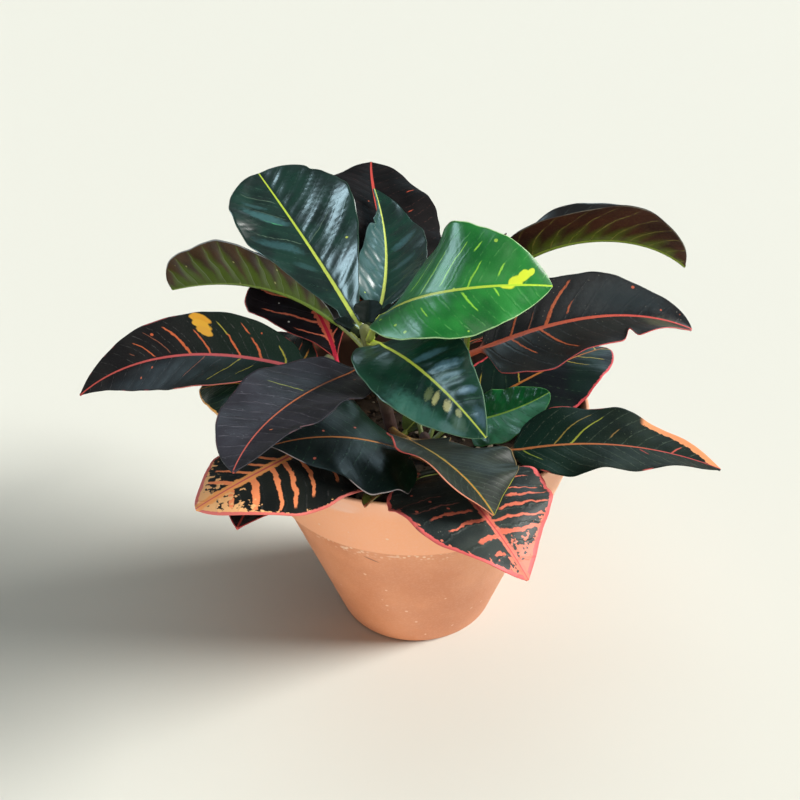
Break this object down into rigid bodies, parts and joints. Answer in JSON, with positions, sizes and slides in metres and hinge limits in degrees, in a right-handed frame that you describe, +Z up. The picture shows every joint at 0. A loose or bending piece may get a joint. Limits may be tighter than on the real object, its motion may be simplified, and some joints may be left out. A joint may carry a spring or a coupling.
{
  "type": "potted croton plant",
  "caption": "Young croton with broad, veined green, dark and coral leaves in a tapered pot with a stepped rim band.",
  "frame": {"origin": "centre of the pot's foot", "axes": "+Z up along the pot's axis, -Y towards the plant's front"},
  "size_m": [0.3215, 0.3147, 0.2339],
  "materials": {
    "pot": "satin terracotta-coloured plastic",
    "soil": "loose dark potting mix",
    "stem": "young brown bark",
    "stalk": "pale green cut stalk",
    "green_leaf": "glossy green leaf with a yellow-green midrib",
    "olive_leaf": "olive underside of a folded leaf",
    "maroon_leaf": "maroon underside of a folded leaf",
    "dark_leaf": "dark leaf with a thin coloured midrib",
    "crimson_leaf": "blackish leaf with a crimson midrib",
    "coral_leaf": "dark leaf with coral veins",
    "orange_leaf": "green leaf with an orange midrib and margin"
  },
  "bodies": {
    "root": {"pot": "pot", "soil": "soil", "stem_main": "stem", "stem_left": "stem", "stem_right": "stem", "stem_front": "stem", "stem_back": "stem", "stem_pruned": "stem", "cut_stalk_1": "stalk", "cut_stalk_2": "stalk", "cut_stalk_3": "stalk", "cut_stalk_4": "stalk", "leaf_crown_left": "green_leaf", "leaf_crown_middle": "green_leaf", "leaf_crown_right": "green_leaf", "leaf_crown_front": "green_leaf", "leaf_spoon": "green_leaf", "leaf_bud": "green_leaf", "leaf_folded_left": "olive_leaf", "leaf_inner_front": "olive_leaf", "leaf_folded_right": "maroon_leaf", "leaf_behind_crown": "dark_leaf", "leaf_front_small": "dark_leaf", "leaf_mid_left": "dark_leaf", "leaf_front_wide": "dark_leaf", "leaf_behind_left": "dark_leaf", "leaf_lowest_left": "dark_leaf", "leaf_back_top_right": "dark_leaf", "leaf_back_top_left": "dark_leaf", "leaf_back_inner": "dark_leaf", "leaf_upper_left": "crimson_leaf", "leaf_far_left": "coral_leaf", "leaf_far_right": "coral_leaf", "leaf_mid_right": "coral_leaf", "leaf_over_rim": "coral_leaf", "leaf_low_left": "coral_leaf", "leaf_back_top_middle": "coral_leaf", "leaf_back_right": "coral_leaf", "leaf_back_low_middle": "coral_leaf", "leaf_back_low_right": "coral_leaf", "leaf_back_left": "coral_leaf", "leaf_low_right": "orange_leaf"}
  },
  "joints": []
}
